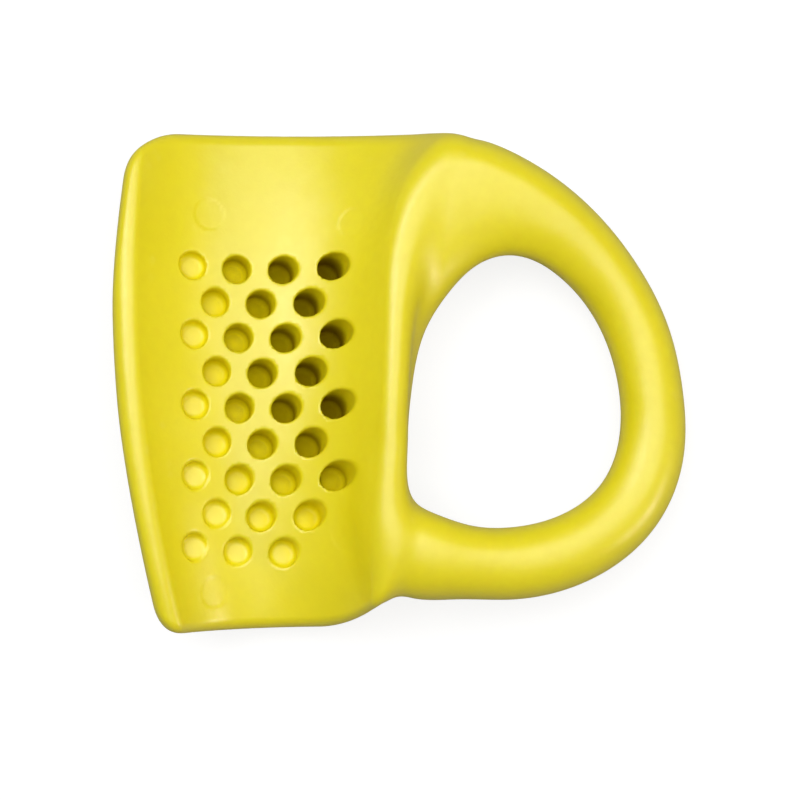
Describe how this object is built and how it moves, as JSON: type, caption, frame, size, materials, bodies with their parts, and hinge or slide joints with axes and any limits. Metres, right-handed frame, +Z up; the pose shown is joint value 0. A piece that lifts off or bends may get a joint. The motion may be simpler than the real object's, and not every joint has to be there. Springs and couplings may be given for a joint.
{
  "type": "lip grip",
  "caption": "Soft one-piece fishing lip grip: concave thumb trough with rolled rims and slanted blind grip holes, and a D-shaped finger ring on one side.",
  "frame": {"origin": "middle of the footprint, on the table that the grip rests on", "axes": "+Z up from the table, out of the open trough; +X from the trough towards the ring's far side; +Y along the trough, towards the ring's wide root"},
  "size_m": [0.0687, 0.0599, 0.0163],
  "materials": {
    "yellow_rubber": "satin"
  },
  "bodies": {
    "root": {"grip_moulding": "yellow_rubber"}
  },
  "joints": []
}
